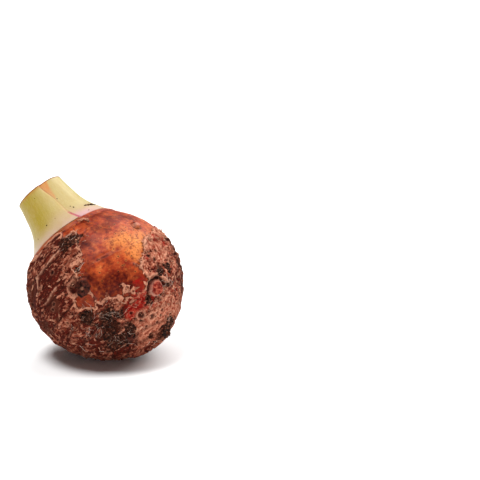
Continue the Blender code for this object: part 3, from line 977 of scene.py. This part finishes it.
def make_shreds():
    template = shred_template()
    shapes = []
    near = random_directions(9000, 5)
    inside = window_inside(near)
    on_edge = near[(inside > -0.55) & (inside < -0.1) & off_buds(near)][:210]
    into = steepest(on_edge)
    draw = np.random.default_rng(8)
    swing = draw.normal(0.0, 0.5, len(on_edge))
    headings = into * np.cos(swing)[:, None] + np.cross(on_edge, into) * np.sin(swing)[:, None]
    shapes += shred_shapes(template, on_edge, headings, 9, (0.6, 1.6), (0.2, 1.2))
    rest = random_directions(900, 12)
    rest = rest[(window_inside(rest) < -1.2) & off_buds(rest)][:400]
    round_axis = np.cross(rest, (0.0, 0.0, 1.0))
    round_axis /= np.linalg.norm(round_axis, axis=1)[:, None]
    toward_root = np.cross(round_axis, rest)
    swing = draw.choice((-1.0, 1.0), len(rest)) * draw.normal(0.35, 0.45, len(rest))
    flip = draw.choice((-1.0, 1.0), len(rest))
    headings = round_axis * (np.cos(swing) * flip)[:, None] - toward_root * np.sin(swing)[:, None]
    shapes += shred_shapes(template, rest, headings, 14, (0.8, 2.1), (-0.1, 0.5))
    mesh = strewn("bark shreds", template, shapes, 15)
    return finished_piece("bark_shreds", mesh, shred_material())


bark_shreds = make_shreds()

# Rootlets and hairs
# Wiry dead rootlets and the fine hairs of old leaf bases, dry and pale, matted in the soil patches and
# standing off the tuber's right side and root end.
HAIR_STEPS = 8
TUBER_WIDTH = 52.0


def hair_template():
    shape = bmesh.new()
    bmesh.ops.create_cone(shape, cap_ends=True, segments=3, radius1=1.0, radius2=0.35, depth=1.0)
    bmesh.ops.subdivide_edges(shape, edges=edges_along(shape, 2), cuts=HAIR_STEPS - 1, use_grid_fill=True)
    return as_mesh(shape, "one hair")


def hair_shapes(template, roots, seed, lengths, thicknesses, rise, wave):
    """Hairs that leave the surface at a slant and wander; rise is the sine of that slant."""
    draw = np.random.default_rng(seed)
    block = read_places(template)
    along = block[:, 2] + 0.5
    feet = surface_places(roots, -0.1)
    shapes = []
    for foot, up in zip(feet, roots):
        length = draw.uniform(*lengths)
        thick = draw.uniform(*thicknesses)
        angle = draw.uniform(0.0, 2.0 * math.pi)
        east = np.cross(up, (0.3, 0.2, 0.93))
        east /= np.linalg.norm(east)
        north = np.cross(up, east)
        heading = east * math.cos(angle) + north * math.sin(angle)
        side = np.cross(up, heading)
        lift = draw.uniform(*rise)
        bow = draw.uniform(-wave, wave)
        twist = draw.uniform(0.0, 6.28)
        forward = length * along * math.sqrt(max(0.0, 1.0 - lift * lift))
        sideways = length * bow * along**2 + 0.06 * length * np.sin(along * 7.0 + twist)
        fall = forward * forward / TUBER_WIDTH
        upward = length * lift * along - fall + 0.04 * length * np.sin(along * 9.0 + twist)
        place = foot + heading * forward[:, None] + side * (sideways + block[:, 0] * thick)[:, None]
        shapes.append(place + up * (upward + block[:, 1] * thick)[:, None])
    return shapes


def near_places(count, seed, places, spread_mm):
    """Directions scattered about the given places."""
    draw = np.random.default_rng(seed)
    picked = []
    for _ in range(count):
        polar, turn, reach = places[draw.integers(len(places))]
        centre = toward(polar, turn)
        offset = draw.normal(0.0, 1.0, 3) * (reach * spread_mm / MIDDLE_RADIUS)
        direction = centre + offset - centre * (offset @ centre)
        picked.append(direction / np.linalg.norm(direction))
    return np.array(picked)


def hair_material(name, dark, pale, skew=1.0):
    material, finish, shader = new_finish(name)
    shaded = finish.mix(finish.field("shade") ** skew, dark, pale)
    connect(finish, shader, Base_Color=shaded, Roughness=0.85, Specular_IOR_Level=0.12)
    return material


def hair_piece(name, roots, seed, lengths, thicknesses, rise, wave, finish):
    shapes = hair_shapes(one_hair, roots, seed, lengths, thicknesses, rise, wave)
    mesh = strewn(name.replace("_", " "), one_hair, shapes, seed + 1)
    return finished_piece(name, mesh, hair_material(*finish))


one_hair = hair_template()
WIRY_PATCHES = SOIL_PATCHES + ((112, -46, 4.0), (120, -42, 4.0), (124, -58, 4.0))
hair_piece(
    "rootlets", near_places(210, 21, WIRY_PATCHES, 0.8), 22, (1.5, 5.0), (0.05, 0.11), (0.0, 0.16), 0.35,
    ("dry rootlets", (120, 80, 64), (236, 206, 186)),
)
FRINGE_PATCHES = ((108, 90, 2.4), (116, 94, 2.6), (124, 96, 2.4), (114.5, 62, 1.3), (117, 50, 1.0))
hair_piece(
    "fringe", near_places(260, 35, FRINGE_PATCHES, 0.9), 36, (1.4, 3.8), (0.03, 0.055), (0.2, 0.8), 0.5,
    ("fringe of hairs", (150, 132, 126), (232, 226, 226)),
)
TUFTS = ((109, 91, 3.0), (118, 94, 3.2), (133, 98, 3.4), (112, 66, 1.6), (112, 64, 1.6), (150, 150, 4.0))
TUFTS += ((125, -130, 4.0),)
hair_piece(
    "fine_hairs", near_places(460, 31, TUFTS, 0.8), 32, (1.6, 4.4), (0.02, 0.04), (0.05, 0.55), 0.5,
    ("fine hairs", (150, 124, 112), (232, 222, 216)),
)
stray_roots = random_directions(260, 41, -0.97, 0.6)
stray_roots = stray_roots[window_inside(stray_roots) < -0.8]
hair_piece(
    "stray_fibres", stray_roots, 42, (1.0, 3.0), (0.03, 0.06), (0.0, 0.2), 0.4,
    ("stray fibres", (70, 36, 28), (170, 122, 98)),
)

# Soil crumbs
# Dark field soil left in the hollows, in crumbs of all sizes, with a few specks on the pale shoot.
# Specks: turn round the shoot, height as a share of its length, radius in millimetres.
SPECKS = ((-16, 0.848, 0.14), (21.8, 0.597, 0.18), (29, 0.322, 0.22), (31, 0.268, 0.27), (-4, 0.261, 0.14))
SPECKS += ((-21.5, 0.261, 0.26), (-47, 0.19, 0.18), (58, 0.235, 0.2), (40, 0.06, 0.18), (100, 0.6, 0.2))
SPECKS += ((44.5, 0.196, 0.26), (46, 0.19, 0.36), (48, 0.186, 0.24), (49.5, 0.176, 0.42), (51, 0.182, 0.2))
SPECKS += ((52.5, 0.17, 0.34), (54.5, 0.166, 0.46), (57, 0.158, 0.28), (59, 0.154, 0.34), (61.5, 0.15, 0.2))
SPECKS += ((150, 0.4, 0.2), (-140, 0.3, 0.25), (-170, 0.55, 0.18), (-110, 0.2, 0.25))


def crumb_template():
    shape = bmesh.new()
    bmesh.ops.create_icosphere(shape, subdivisions=1, radius=1.0)
    return as_mesh(shape, "one crumb")


def make_crumbs():
    template = crumb_template()
    ball = read_places(template)
    draw = np.random.default_rng(51)
    roots = near_places(2600, 52, SOIL_PATCHES, 0.75)
    fields = corm_fields(roots)
    kept = fields["soil"] > draw.uniform(0.0, 1.0, len(roots)) ** 2
    places = roots[kept] * (fields["radius"][kept][:, None] / MM)
    sizes = draw.uniform(0.3, 0.66, len(places)) ** 2
    on_clod = bell(away_from(roots[kept], *CLOD[:2]) / 3.8)
    sizes += 0.4 * on_clod * draw.uniform(0.0, 1.0, len(places))
    shapes = []
    for place, size in zip(places, sizes):
        shapes.append(place + ball * size * draw.uniform(0.6, 1.25, ball.shape))
    turns = np.array([speck[0] for speck in SPECKS], dtype=float)
    heights = SEAT + GAP + (CUT_HEIGHT - SEAT - GAP) * np.array([speck[1] for speck in SPECKS])
    on_stalk = (turns > front_margin(heights)) & (turns < BACK_MARGIN + 360.0)
    back = np.where(on_stalk, stalk_set_back(turns, heights), 0.0)
    for place, speck in zip(shoot_places(turns, heights, back), SPECKS):
        shapes.append(place + ball * speck[2] * draw.uniform(0.8, 1.45, ball.shape))
    mesh = strewn("soil crumbs", template, shapes, 53)
    material = hair_material("field soil", (26, 10, 6), (142, 84, 62), 2.5)
    return finished_piece("soil_crumbs", mesh, material)


soil_crumbs = make_crumbs()

# Floor, light and camera
# A plain pale floor under a broad soft light, seen from the photograph's side.
floor_shape = bmesh.new()
bmesh.ops.create_grid(floor_shape, x_segments=1, y_segments=1, size=30.0)
floor_mesh = as_mesh(floor_shape, "floor")
floor_material, floor_finish, floor_shader = new_finish("pale floor")
connect(floor_finish, floor_shader, Base_Color=(0.97, 0.97, 0.97, 1.0), Roughness=0.9)
floor_mesh.materials.append(floor_material)
floor = bpy.data.objects.new("floor", floor_mesh)
bpy.context.scene.collection.objects.link(floor)


def soft_sun(name, turn, rise, spread, strength):
    """A broad distant light; turn and rise of the place that it shines from, in degrees."""
    lamp = bpy.data.lights.new(name, "SUN")
    lamp.angle = math.radians(spread)
    lamp.energy = strength
    sun = bpy.data.objects.new(name, lamp)
    turn = math.radians(turn)
    rise = math.radians(rise)
    source = Vector((math.cos(rise) * math.sin(turn), -math.cos(rise) * math.cos(turn), math.sin(rise)))
    sun.rotation_euler = source.to_track_quat("Z", "Y").to_euler()
    bpy.context.scene.collection.objects.link(sun)


soft_sun("overhead", -60.0, 74.0, 26.0, 3.0)
soft_sun("right", 130.0, 51.0, 70.0, 3.9)
soft_sun("front", 14.0, 2.0, 12.0, 1.35)
world = bpy.data.worlds.new("studio")
world.use_nodes = True
backdrop = Finish(world.node_tree)
looking = backdrop.node("ShaderNodeTexCoord", {}, {}, "Generated")
upward = backdrop.node("ShaderNodeSeparateXYZ", {}, {0: looking}, "Z")
LOW_SKY = (1.0, 1.0, 1.0, 1.0)
HIGH_SKY = (0.06, 0.06, 0.06, 1.0)
skies = {0: upward.between(0.03, 0.12), 6: LOW_SKY, 7: HIGH_SKY}
glow = backdrop.node("ShaderNodeMix", {"data_type": "RGBA"}, skies, 2)
world.node_tree.links.new(glow.socket, world.node_tree.nodes["Background"].inputs["Color"])
bpy.context.scene.world = world
bpy.context.scene.view_settings.view_transform = "Standard"

VIEW_PITCH = math.radians(14.15)
VIEW_YAW = math.radians(5.968)
VIEW_RISE = math.radians(16.0)
VIEW_DISTANCE = 0.447
camera_data = bpy.data.cameras.new("camera")
camera_data.lens = 100.0
camera_data.sensor_width = 36.0
camera = bpy.data.objects.new("camera", camera_data)
view_height = LIE_HEIGHT + VIEW_DISTANCE * math.sin(VIEW_RISE)
camera.location = (0.0, -VIEW_DISTANCE * math.cos(VIEW_RISE), view_height)
camera.rotation_euler = (math.pi / 2 - VIEW_PITCH, 0.0, -VIEW_YAW)
bpy.context.scene.collection.objects.link(camera)
bpy.context.scene.camera = camera
